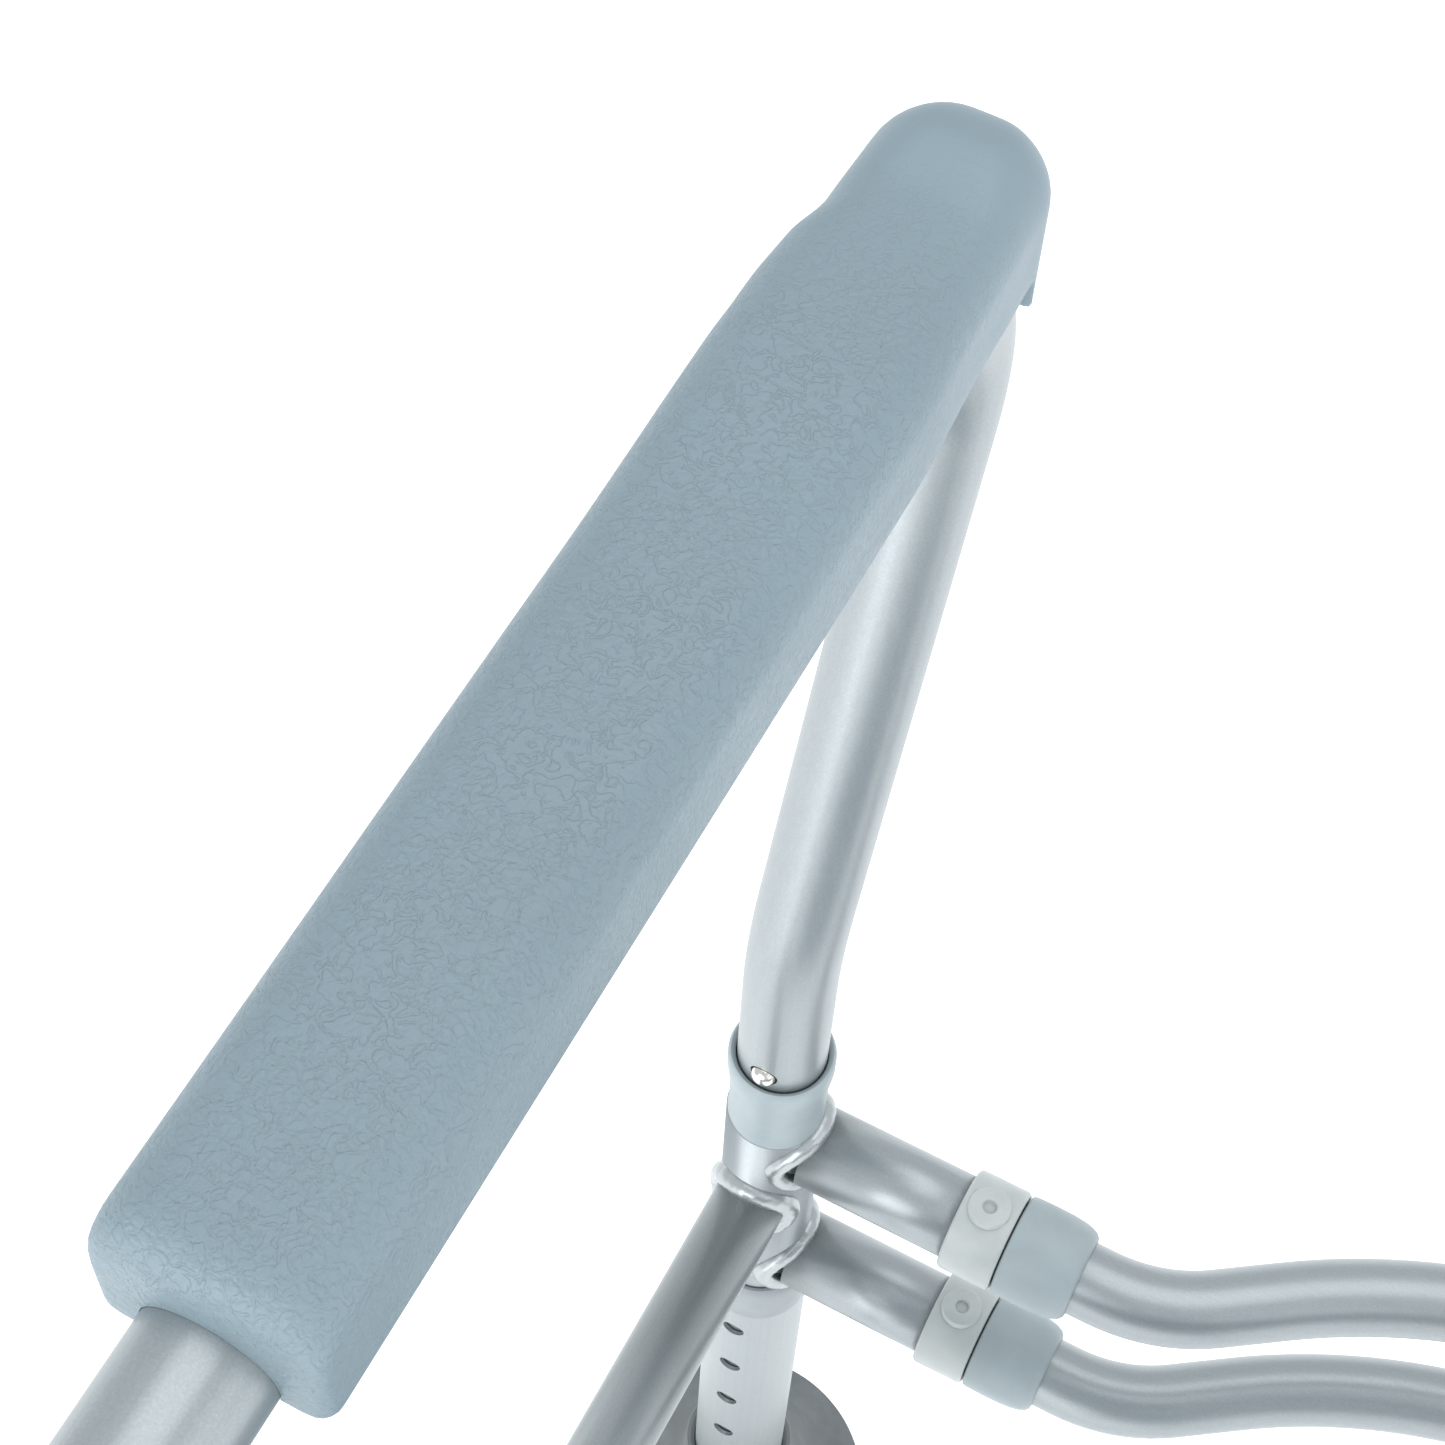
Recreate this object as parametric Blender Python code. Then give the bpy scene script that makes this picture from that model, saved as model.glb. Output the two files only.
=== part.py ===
"""Shower stool: a knock-down aluminium frame with lift-out armrests and height-adjustable legs.

Two welded side frames are joined by four bowed crossbars. The front faces -Y, the stool stands on Z = 0
and the sitter's left is +X. Lengths are in metres.
"""

from math import cos, pi, radians, sin, sqrt, tan

import bmesh
import bpy
from mathutils import Matrix, Vector

# Frame
HALF_WIDTH = 0.230
HALF_DEPTH = 0.170
RAIL_Z = 0.285
LOWER_RAIL_DROP = 0.066
SIDE_RAIL_Z = RAIL_Z - 0.025
POST_R = 0.0125
POST_BORE_R = 0.0115
POST_TOP_Z = RAIL_Z + 0.012
POST_BOTTOM_Z = 0.050
SIDE_RAIL_R = 0.0095
TUBE_R = 0.011
TUBE_WALL = 0.0012
SMALL_TUBE_BORE_R = 0.0083
VENT_R = 0.003

# Crossbars, measured from the post's axis towards the middle
STUB_END = 0.0650
BAR_START = 0.0300
BAR_R = 0.0095
BAR_BORE_R = 0.0083
BOW_START = 0.0905
BOW_BEND_R = 0.048
BOW_ANGLE = radians(34.9)
BOW_ARC_START = 0.132
RING_SPAN = (0.0520, 0.0660)
RING_R = 0.0132
RING_PIN_AT = 0.0588
RING_PIN_R = 0.0030
RING_BOSS_R = 0.0050
RING_BOSS_TOP = 0.0148
COLLAR_SPAN = (0.0665, 0.0855)
COLLAR_R = 0.0130

# Legs
LEG_R = 0.014
LEG_BORE_R = 0.0128
LEG_TOP_Z = 0.188
LEG_BOTTOM_Z = 0.008
LEG_COLLAR_R = 0.0143
LEG_COLLAR_TOP_Z = 0.2072
HOLE_PITCH = 0.0285
HOLE_COUNT = 5
LOWEST_HOLE_Z = 0.061
HOLE_R = 0.0035
BUTTON_R = 0.0030
BUTTON_BASE = 0.0070
LEG_BUTTON_TIP = 0.0158
FOOT_R = 0.043
FOOT_HEIGHT = 0.048
FOOT_NECK_R = 0.0175
FOOT_LIP = 0.006

# Armrests
ARM_Z = RAIL_Z + 0.296
ARM_BEND_R = 0.0467
ARM_LEAN = radians(17.8)
ARM_KINK_Z = RAIL_Z + 0.0944
ARM_KINK_R = 0.100
ARM_FOOT_Z = RAIL_Z - 0.015
ARM_BUTTON_Z = RAIL_Z + 0.048
ARM_BUTTON_TIP = 0.0130
SOCKET_TOP_Z = RAIL_Z + 0.043
SOCKET_RIM_R = 0.0132
SOCKET_NECK_R = 0.0120
PAD_HALF_WIDTH = 0.0187
PAD_TOP = 0.0232
PAD_BOTTOM = -0.0036
PAD_EDGE_R = 0.0088
PAD_REAR_Y = 0.0245
NOSE_CENTRE_Y = -0.2032
NOSE_R = 0.0165
NOSE_TOP = 0.0243
NOSE_ROUND = 0.0160
NOSE_BOTTOM = -0.0140
SKIRT_Y = -0.2058
NECK_Y = -0.1900
NECK_HALF_WIDTH = 0.0169
NECK_TOP = 0.0220

# Seat
SEAT_TUBE_Y = 0.048
SEAT_TUBE_Z = SIDE_RAIL_Z + 0.023
SEAT_TUBE_END = 0.2270
SEAT_HALF_WIDTH = 0.185
SEAT_HALF_DEPTH = 0.135
SEAT_POWER = 2.5
BOARD_THICK = 0.010
CUSHION_THICK = 0.028
CUSHION_EDGE_R = 0.010
CLIP_X = 0.110
CLIP_SIZE = (0.030, 0.028)
CLIP_DROP = 0.013
SADDLE_X = (0.2140, 0.2435)
SADDLE_HALF_Y = 0.0145
SADDLE_Z = (SIDE_RAIL_Z - 0.004, SEAT_TUBE_Z + 0.0095)

GAP = 0.0003
TUBE_SIDES = 12
POST_SIDES = 16
PIN_SIDES = 8

SIDES_X = (("left", 1), ("right", -1))
ENDS_Y = (("front", -1), ("rear", 1))
LEVELS = (("upper", RAIL_Z), ("lower", RAIL_Z - LOWER_RAIL_DROP))

X_AXIS = Vector((1, 0, 0))
Y_AXIS = Vector((0, 1, 0))
Z_AXIS = Vector((0, 0, 1))


def clear_scene():
    for old in list(bpy.data.objects):
        bpy.data.objects.remove(old, do_unlink=True)


def make_material(name, colour, roughness, metallic):
    material = bpy.data.materials.new(name)
    material.use_nodes = True
    shader = material.node_tree.nodes["Principled BSDF"]
    shader.inputs["Base Color"].default_value = (*colour, 1.0)
    shader.inputs["Roughness"].default_value = roughness
    shader.inputs["Metallic"].default_value = metallic
    return material


def add_object(name, bm, material=None):
    """Close the bmesh into a named object, with its faces pointing out."""
    bmesh.ops.recalc_face_normals(bm, faces=bm.faces)
    mesh = bpy.data.meshes.new(name)
    bm.to_mesh(mesh)
    bm.free()
    obj = bpy.data.objects.new(name, mesh)
    bpy.context.scene.collection.objects.link(obj)
    if material:
        mesh.materials.append(material)
        mesh.shade_smooth()
        mesh.set_sharp_from_angle(angle=radians(35))
    return obj


def add_helper(name, bm):
    """A cutter, or a shape that is joined into another object."""
    obj = add_object(name, bm)
    obj.hide_render = True
    obj.display_type = "WIRE"
    return obj


def combine(obj, helper, operation):
    modifier = obj.modifiers.new(helper.name, "BOOLEAN")
    modifier.operation = operation
    modifier.solver = "EXACT"
    modifier.object = helper


def ring_of(bm, centre, along, across, radius, sides):
    """A loop of vertices round a centre, with the first half a step past the across direction."""
    other = along.cross(across).normalized()
    turn = 2 * pi / sides
    return [
        bm.verts.new(
            centre
            + across * (radius * cos((i + 0.5) * turn))
            + other * (radius * sin((i + 0.5) * turn))
        )
        for i in range(sides)
    ]


def bridge(bm, first, second):
    count = len(first)
    for i in range(count):
        j = (i + 1) % count
        bm.faces.new((first[i], first[j], second[j], second[i]))


def add_solid_sweep(bm, stations, across, sides):
    """A closed bar through stations of (centre, direction, radius)."""
    rings = [ring_of(bm, Vector(c), Vector(d), across, r, sides) for c, d, r in stations]
    for first, second in zip(rings, rings[1:]):
        bridge(bm, first, second)
    bm.faces.new(rings[0])
    bm.faces.new(rings[-1])


def add_hollow_sweep(bm, outer, inner, across, sides):
    """A tube whose outside and bore have their own stations."""
    outside = [ring_of(bm, Vector(c), Vector(d), across, r, sides) for c, d, r in outer]
    bore = [ring_of(bm, Vector(c), Vector(d), across, r, sides) for c, d, r in inner]
    for rings in (outside, bore):
        for first, second in zip(rings, rings[1:]):
            bridge(bm, first, second)
    bridge(bm, outside[0], bore[0])
    bridge(bm, outside[-1], bore[-1])


def add_cylinder(bm, start, end, radius, across, sides):
    along = (Vector(end) - Vector(start)).normalized()
    add_solid_sweep(bm, ((start, along, radius), (end, along, radius)), across, sides)


def add_box(bm, low, high):
    size = Vector(high) - Vector(low)
    middle = (Vector(high) + Vector(low)) / 2
    place = Matrix.Translation(middle) @ Matrix.Diagonal((*size, 1))
    bmesh.ops.create_cube(bm, size=1, matrix=place)


def add_turned(bm, centre, profile, sides):
    """A ring turned about a vertical axis from a closed profile of (radius, height)."""
    rings = [
        ring_of(bm, Vector((centre[0], centre[1], z)), Z_AXIS, X_AXIS, r, sides) for r, z in profile
    ]
    for first, second in zip(rings, rings[1:] + rings[:1]):
        bridge(bm, first, second)


def corner(side, end):
    return Vector((side * HALF_WIDTH, end * HALF_DEPTH, 0))


def at(x, y, z):
    return Vector((x, y, z))


# ---------------------------------------------------------------- side frames


def make_side_frame(word, side, metal):
    """Two posts, the side rail between them and four stubs, welded into one piece."""
    x = side * HALF_WIDTH
    bm = bmesh.new()
    for _, end in ENDS_Y:
        y = end * HALF_DEPTH
        add_cylinder(bm, at(x, y, POST_BOTTOM_Z), at(x, y, POST_TOP_Z), POST_R, X_AXIS, POST_SIDES)
    frame = add_object(f"side_frame_{word}", bm, metal)

    bm = bmesh.new()
    start, stop = at(x, -HALF_DEPTH, SIDE_RAIL_Z), at(x, HALF_DEPTH, SIDE_RAIL_Z)
    add_cylinder(bm, start, stop, SIDE_RAIL_R, X_AXIS, TUBE_SIDES)
    combine(frame, add_helper(f"rail_join_{word}", bm), "UNION")

    bm = bmesh.new()
    for _, end in ENDS_Y:
        for _, z in LEVELS:
            start = at(x, end * HALF_DEPTH, z)
            stop = start - X_AXIS * (side * STUB_END)
            add_cylinder(bm, start, stop, TUBE_R, Y_AXIS, TUBE_SIDES)
    combine(frame, add_helper(f"stub_join_{word}", bm), "UNION")

    bm = bmesh.new()
    stub_bore = TUBE_R - TUBE_WALL
    for _, end in ENDS_Y:
        y = end * HALF_DEPTH
        add_cylinder(bm, at(x, y, 0), at(x, y, 1), POST_BORE_R, X_AXIS, POST_SIDES)
        for _, z in LEVELS:
            start = at(x - side * (POST_R + 0.001), y, z)
            stop = at(x - side * (STUB_END + 0.01), y, z)
            add_cylinder(bm, start, stop, stub_bore, Y_AXIS, TUBE_SIDES)
    inner_end = HALF_DEPTH - POST_R - 0.001
    start, stop = at(x, -inner_end, SIDE_RAIL_Z), at(x, inner_end, SIDE_RAIL_Z)
    add_cylinder(bm, start, stop, SMALL_TUBE_BORE_R, X_AXIS, TUBE_SIDES)
    combine(frame, add_helper(f"bores_{word}", bm), "DIFFERENCE")

    bm = bmesh.new()
    for _, end in ENDS_Y:
        start = at(x, end * (HALF_DEPTH - 0.005), SIDE_RAIL_Z)
        stop = at(x, end * (HALF_DEPTH - 0.020), SIDE_RAIL_Z)
        add_cylinder(bm, start, stop, VENT_R, X_AXIS, PIN_SIDES)
        start = at(x, end * (HALF_DEPTH - 0.008), LOWEST_HOLE_Z)
        stop = at(x, end * (HALF_DEPTH - 0.020), LOWEST_HOLE_Z)
        add_cylinder(bm, start, stop, BUTTON_R + GAP, X_AXIS, PIN_SIDES)
        for _, z in LEVELS:
            start = at(x - side * RING_PIN_AT, end * HALF_DEPTH, z + 0.006)
            stop = at(x - side * RING_PIN_AT, end * HALF_DEPTH, z + 0.016)
            add_cylinder(bm, start, stop, RING_PIN_R + GAP, X_AXIS, PIN_SIDES)
    combine(frame, add_helper(f"small_holes_{word}", bm), "DIFFERENCE")


# ---------------------------------------------------------------- crossbars


def bow_path():
    """Centre line of half a crossbar, as (distance in from the post, bow out from it, heading)."""
    points = []
    steps = 2
    for i in range(steps + 1):
        a = BOW_ANGLE * i / steps
        points.append((BOW_START + BOW_BEND_R * sin(a), BOW_BEND_R * (1 - cos(a)), a))
    s, b, _ = points[-1]
    b += (BOW_ARC_START - s) * tan(BOW_ANGLE)
    arc_r = (HALF_WIDTH - BOW_ARC_START) / sin(BOW_ANGLE)
    steps = 3
    for i in range(steps + 1):
        a = BOW_ANGLE * (1 - i / steps)
        s = HALF_WIDTH - arc_r * sin(a)
        points.append((s, b + arc_r * (cos(a) - cos(BOW_ANGLE)), a))
    return points


def make_crossbar(name, end, z, metal):
    """A bowed tube whose straight ends plug into the wider stubs."""
    bow = bow_path()

    def place(s, b, heading, side):
        centre = at(side * (HALF_WIDTH - s), end * (HALF_DEPTH + b), z)
        direction = Vector((-side * cos(heading), end * sin(heading), 0))
        return centre, direction if side > 0 else -direction

    def stations(radius):
        """Stations from the left end to the right one."""
        half = [(BAR_START, 0, 0), *bow]
        left = [(*place(*p, 1), radius) for p in half]
        right = [(*place(*p, -1), radius) for p in half[:-1]]
        return left + right[::-1]

    bm = bmesh.new()
    add_hollow_sweep(bm, stations(BAR_R), stations(BAR_BORE_R), Z_AXIS, TUBE_SIDES)
    bar = add_object(name, bm, metal)

    bm = bmesh.new()
    for side in (1, -1):
        x, y = side * (HALF_WIDTH - RING_PIN_AT), end * HALF_DEPTH
        add_cylinder(bm, at(x, y, z + 0.005), at(x, y, z + 0.012), RING_PIN_R + GAP, X_AXIS, PIN_SIDES)
    combine(bar, add_helper(f"{name}_pin_holes", bm), "DIFFERENCE")


def make_sleeve(name, x_near, x_far, y, z, bore, outer, material, edge=0.0012):
    """A plastic sleeve round a tube, with its outer edges broken."""
    low, high = min(x_near, x_far), max(x_near, x_far)
    outside = (
        (at(low, y, z), X_AXIS, outer - edge),
        (at(low + edge, y, z), X_AXIS, outer),
        (at(high - edge, y, z), X_AXIS, outer),
        (at(high, y, z), X_AXIS, outer - edge),
    )
    inside = ((at(low, y, z), X_AXIS, bore), (at(high, y, z), X_AXIS, bore))
    bm = bmesh.new()
    add_hollow_sweep(bm, outside, inside, Y_AXIS, TUBE_SIDES)
    return add_object(name, bm, material)


def make_locking_ring(name, side, end, z, material):
    """A ring on the stub's end whose pin drops through the stub into the spigot."""
    y = end * HALF_DEPTH
    near, far = (side * (HALF_WIDTH - s) for s in RING_SPAN)
    ring = make_sleeve(name, near, far, y, z, TUBE_R + GAP, RING_R, material)
    x = side * (HALF_WIDTH - RING_PIN_AT)
    stations = (
        (at(x, y, z + 0.0070), Z_AXIS, RING_PIN_R),
        (at(x, y, z + RING_R - 0.0010), Z_AXIS, RING_PIN_R),
        (at(x, y, z + RING_R - 0.0010), Z_AXIS, RING_BOSS_R),
        (at(x, y, z + RING_BOSS_TOP), Z_AXIS, RING_BOSS_R - 0.0006),
    )
    bm = bmesh.new()
    add_solid_sweep(bm, stations, X_AXIS, PIN_SIDES)
    combine(ring, add_helper(f"{name}_pin", bm), "UNION")


# ---------------------------------------------------------------- legs


def make_leg(word, place, end, metal, plastic, rubber, steel):
    x, y = place.x, place.y
    bm = bmesh.new()
    outside = ((at(x, y, LEG_BOTTOM_Z), Z_AXIS, LEG_R), (at(x, y, LEG_TOP_Z), Z_AXIS, LEG_R))
    inside = tuple((c, d, LEG_BORE_R) for c, d, _ in outside)
    add_hollow_sweep(bm, outside, inside, X_AXIS, POST_SIDES)
    tube = add_object(f"leg_tube_{word}", bm, metal)

    bm = bmesh.new()
    for i in range(HOLE_COUNT):
        z = LOWEST_HOLE_Z + i * HOLE_PITCH
        add_cylinder(bm, at(x, y - end * 0.010, z), at(x, y - end * 0.018, z), HOLE_R, X_AXIS, PIN_SIDES)
    combine(tube, add_helper(f"leg_holes_{word}", bm), "DIFFERENCE")

    bottom = LEG_TOP_Z + GAP
    profile = (
        (POST_R + GAP, bottom),
        (LEG_COLLAR_R, bottom),
        (LEG_COLLAR_R, LEG_COLLAR_TOP_Z - 0.0015),
        (LEG_COLLAR_R - 0.001, LEG_COLLAR_TOP_Z),
        (POST_R + GAP, LEG_COLLAR_TOP_Z),
    )
    bm = bmesh.new()
    add_turned(bm, place, profile, POST_SIDES)
    add_object(f"leg_collar_{word}", bm, plastic)

    make_foot(word, place, rubber)
    make_button(f"leg_button_{word}", place, -end, LOWEST_HOLE_Z, LEG_BUTTON_TIP, steel)


def make_foot(word, place, rubber):
    """A bell of rubber: a wide flat base that sweeps up to the neck round the leg."""
    bore = LEG_R + GAP
    floor = LEG_BOTTOM_Z - GAP
    flare_steps = 4
    profile = [(FOOT_R - 0.002, 0.0), (FOOT_R, 0.002), (FOOT_R, FOOT_LIP)]
    for i in range(1, flare_steps + 1):
        a = pi / 2 * i / flare_steps
        r = FOOT_NECK_R + (FOOT_R - FOOT_NECK_R) * (1 - sin(a))
        profile.append((r, FOOT_LIP + (FOOT_HEIGHT - FOOT_LIP) * (1 - cos(a))))
    bm = bmesh.new()
    outer = [ring_of(bm, at(place.x, place.y, z), Z_AXIS, X_AXIS, r, POST_SIDES) for r, z in profile]
    cup = [
        ring_of(bm, at(place.x, place.y, z), Z_AXIS, X_AXIS, bore, POST_SIDES)
        for z in (FOOT_HEIGHT, floor)
    ]
    rings = outer + cup
    for first, second in zip(rings, rings[1:]):
        bridge(bm, first, second)
    bm.faces.new(rings[0])
    bm.faces.new(rings[-1])
    add_object(f"foot_{word}", bm, rubber)


def make_button(name, place, towards, z, tip, steel):
    """A domed spring button that points along Y."""
    out = Y_AXIS * towards
    centre = at(place.x, place.y, z)
    stations = (
        (centre + out * BUTTON_BASE, out, BUTTON_R),
        (centre + out * (tip - 0.0018), out, BUTTON_R),
        (centre + out * (tip - 0.0006), out, BUTTON_R * 0.75),
        (centre + out * tip, out, BUTTON_R * 0.3),
    )
    bm = bmesh.new()
    add_solid_sweep(bm, stations, X_AXIS, PIN_SIDES)
    add_object(name, bm, steel)


# ---------------------------------------------------------------- armrests


def arc_stations(centre, radius, start, stop, steps):
    """(Y, Z, heading) along a bend in a YZ plane; the heading turns from +Z towards +Y."""
    stations = []
    for i in range(steps + 1):
        a = start + (stop - start) * i / steps
        stations.append((centre[0] - radius * cos(a), centre[1] + radius * sin(a), a))
    return stations


def arm_path():
    """The arm tube's centre line from the front post, over the top and down to the rear post."""
    front, rear = -HALF_DEPTH, HALF_DEPTH
    reach = ARM_KINK_R * tan(ARM_LEAN / 2)
    path = [(front, ARM_FOOT_Z, 0.0)]
    for i in range(3):
        a = ARM_LEAN * i / 2
        y = front - ARM_KINK_R * (1 - cos(a))
        path.append((y, ARM_KINK_Z - reach + ARM_KINK_R * sin(a), -a))
    top_centre_z = ARM_Z - ARM_BEND_R
    bend_start_z = top_centre_z - ARM_BEND_R * sin(ARM_LEAN)
    bend_start_y = front - (bend_start_z - ARM_KINK_Z) * tan(ARM_LEAN)
    front_centre_y = bend_start_y + ARM_BEND_R * cos(ARM_LEAN)
    path += arc_stations((front_centre_y, top_centre_z), ARM_BEND_R, -ARM_LEAN, pi / 2, 7)
    path += arc_stations((rear - ARM_BEND_R, top_centre_z), ARM_BEND_R, pi / 2, pi, 5)
    path.append((rear, ARM_FOOT_Z, pi))
    return path


def arm_stations(x, radius):
    return [(at(x, y, z), Vector((0, sin(a), cos(a))), radius) for y, z, a in arm_path()]


def make_arm_tube(word, side, metal):
    x = side * HALF_WIDTH
    outside, inside = arm_stations(x, TUBE_R), arm_stations(x, TUBE_R - TUBE_WALL)
    bm = bmesh.new()
    add_hollow_sweep(bm, outside, inside, X_AXIS, TUBE_SIDES)
    tube = add_object(f"arm_tube_{word}", bm, metal)
    bm = bmesh.new()
    for _, end in ENDS_Y:
        start = at(x, end * (HALF_DEPTH - 0.006), ARM_BUTTON_Z)
        stop = at(x, end * (HALF_DEPTH - 0.016), ARM_BUTTON_Z)
        add_cylinder(bm, start, stop, HOLE_R, X_AXIS, PIN_SIDES)
    combine(tube, add_helper(f"arm_holes_{word}", bm), "DIFFERENCE")


def pad_section(half, top, bottom, edge, swell, side):
    """Round-shouldered section of the pad as (across, up) points; only the outer side swells."""
    small = 0.003
    points = [(half - small, bottom), (half, bottom + small)]
    steps = 3
    for i in range(steps + 1):
        a = pi / 2 * i / steps
        points.append((half - edge + edge * cos(a), top - edge + edge * sin(a)))
    points += [(-u, v) for u, v in reversed(points)]
    grow = 1 + swell / half
    return [(u * grow if u * side > 0 else u, v) for u, v in points]


def pad_stations():
    """(Y, half width, top, bottom, edge radius, swell) from the boxy rear end to the round nose."""
    rows = [
        (PAD_REAR_Y, PAD_HALF_WIDTH - 0.003, PAD_TOP - 0.007, PAD_BOTTOM + 0.0005, PAD_EDGE_R, 0),
        (PAD_REAR_Y - 0.002, PAD_HALF_WIDTH - 0.0006, PAD_TOP - 0.0028, PAD_BOTTOM, PAD_EDGE_R, 0),
        (PAD_REAR_Y - 0.008, PAD_HALF_WIDTH, PAD_TOP, PAD_BOTTOM, PAD_EDGE_R, 0),
        (-0.100, PAD_HALF_WIDTH, PAD_TOP, PAD_BOTTOM, PAD_EDGE_R, 0.0003),
        (-0.156, PAD_HALF_WIDTH - 0.0001, PAD_TOP, PAD_BOTTOM, PAD_EDGE_R, 0.0010),
        (-0.166, PAD_HALF_WIDTH - 0.0006, PAD_TOP - 0.0004, PAD_BOTTOM, PAD_EDGE_R, 0.0015),
        (-0.176, PAD_HALF_WIDTH - 0.0013, PAD_TOP - 0.0009, PAD_BOTTOM, PAD_EDGE_R, 0.0017),
        (NECK_Y + 0.003, NECK_HALF_WIDTH, NECK_TOP, PAD_BOTTOM, PAD_EDGE_R, 0),
        (NOSE_CENTRE_Y, NOSE_R, NOSE_TOP, PAD_BOTTOM, 0.0110, 0),
        (SKIRT_Y, NOSE_R - 0.0002, NOSE_TOP - 0.0002, PAD_BOTTOM, 0.0110, 0),
        (SKIRT_Y - 0.0015, NOSE_R - 0.0004, NOSE_TOP - 0.0004, NOSE_BOTTOM, 0.0110, 0),
    ]
    for t in (0.55, 0.85, 0.98):
        half = NOSE_R * sqrt(1 - t * t)
        top = NOSE_TOP - NOSE_ROUND * (1 - sqrt(1 - t * t))
        rows.append((NOSE_CENTRE_Y - NOSE_R * t, half, top, NOSE_BOTTOM, min(0.0110, half * 0.75), 0))
    return rows


def make_arm_pad(word, side, soft):
    x = side * HALF_WIDTH
    bm = bmesh.new()
    rings = [
        [bm.verts.new((x + u, y, ARM_Z + v)) for u, v in pad_section(*size, side)]
        for y, *size in pad_stations()
    ]
    for first, second in zip(rings, rings[1:]):
        bridge(bm, first, second)
    bm.faces.new(rings[0])
    bm.faces.new(rings[-1])
    pad = add_object(f"arm_pad_{word}", bm, soft)
    bm = bmesh.new()
    add_solid_sweep(bm, arm_stations(x, TUBE_R + GAP), X_AXIS, TUBE_SIDES)
    combine(pad, add_helper(f"pad_groove_{word}", bm), "DIFFERENCE")


def make_socket_collar(name, place, plastic):
    """The collar on a post's top that guides the arm tube: a wide rim over a narrow neck."""
    bottom = POST_TOP_Z + GAP
    bore = POST_BORE_R
    profile = (
        (bore, bottom),
        (SOCKET_NECK_R, bottom),
        (SOCKET_NECK_R + 0.0003, bottom + 0.010),
        (SOCKET_RIM_R, SOCKET_TOP_Z - 0.008),
        (SOCKET_RIM_R, SOCKET_TOP_Z - 0.0015),
        (SOCKET_RIM_R - 0.0008, SOCKET_TOP_Z),
        (bore, SOCKET_TOP_Z),
    )
    bm = bmesh.new()
    add_turned(bm, place, profile, POST_SIDES)
    add_object(name, bm, plastic)


# ---------------------------------------------------------------- seat


def seat_outline(half_x, half_y, count=32):
    """A rounded rectangle by superellipse."""
    points = []
    for i in range(count):
        a = 2 * pi * (i + 0.5) / count
        c, s = cos(a), sin(a)
        x = half_x * abs(c) ** (2 / SEAT_POWER) * (1 if c > 0 else -1)
        y = half_y * abs(s) ** (2 / SEAT_POWER) * (1 if s > 0 else -1)
        points.append((x, y))
    return points


def seat_layers(bm, layers):
    """A closed slab through layers of (inset, height)."""
    rings = [
        [bm.verts.new((x, y, z)) for x, y in seat_outline(SEAT_HALF_WIDTH - i, SEAT_HALF_DEPTH - i)]
        for i, z in layers
    ]
    for first, second in zip(rings, rings[1:]):
        bridge(bm, first, second)
    bm.faces.new(rings[0])
    bm.faces.new(rings[-1])


def make_seat(board_material, soft):
    board_z = SEAT_TUBE_Z + SIDE_RAIL_R + GAP
    bm = bmesh.new()
    seat_layers(
        bm,
        ((0.006, board_z), (0.004, board_z + 0.002), (0.004, board_z + BOARD_THICK)),
    )
    board = add_object("seat_board", bm, board_material)
    bm = bmesh.new()
    for x in (-CLIP_X, CLIP_X):
        for y in (-SEAT_TUBE_Y, SEAT_TUBE_Y):
            low = (x - CLIP_SIZE[0] / 2, y - CLIP_SIZE[1] / 2, board_z - CLIP_DROP)
            high = (x + CLIP_SIZE[0] / 2, y + CLIP_SIZE[1] / 2, board_z + BOARD_THICK / 2)
            add_box(bm, low, high)
    combine(board, add_helper("seat_clip_blocks", bm), "UNION")
    bm = bmesh.new()
    for y in (-SEAT_TUBE_Y, SEAT_TUBE_Y):
        start, stop = at(-0.16, y, SEAT_TUBE_Z), at(0.16, y, SEAT_TUBE_Z)
        add_cylinder(bm, start, stop, SIDE_RAIL_R + GAP, Y_AXIS, TUBE_SIDES)
    combine(board, add_helper("seat_clip_channels", bm), "DIFFERENCE")

    low = board_z + BOARD_THICK + GAP
    top = low + CUSHION_THICK
    edge = CUSHION_EDGE_R
    layers = [(0.002, low), (0.0, low + 0.003), (0.0, top - edge)]
    for a in (radians(35), radians(65)):
        layers.append((edge * (1 - cos(a)), top - edge + edge * sin(a)))
    layers.append((edge, top))
    bm = bmesh.new()
    seat_layers(bm, layers)
    add_object("seat_cushion", bm, soft)


def make_seat_tube(name, y, metal):
    bm = bmesh.new()
    ends = (at(-SEAT_TUBE_END, y, SEAT_TUBE_Z), at(SEAT_TUBE_END, y, SEAT_TUBE_Z))
    outside = [(c, X_AXIS, SIDE_RAIL_R) for c in ends]
    inside = [(c, X_AXIS, SMALL_TUBE_BORE_R) for c in ends]
    add_hollow_sweep(bm, outside, inside, Y_AXIS, TUBE_SIDES)
    add_object(name, bm, metal)


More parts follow.
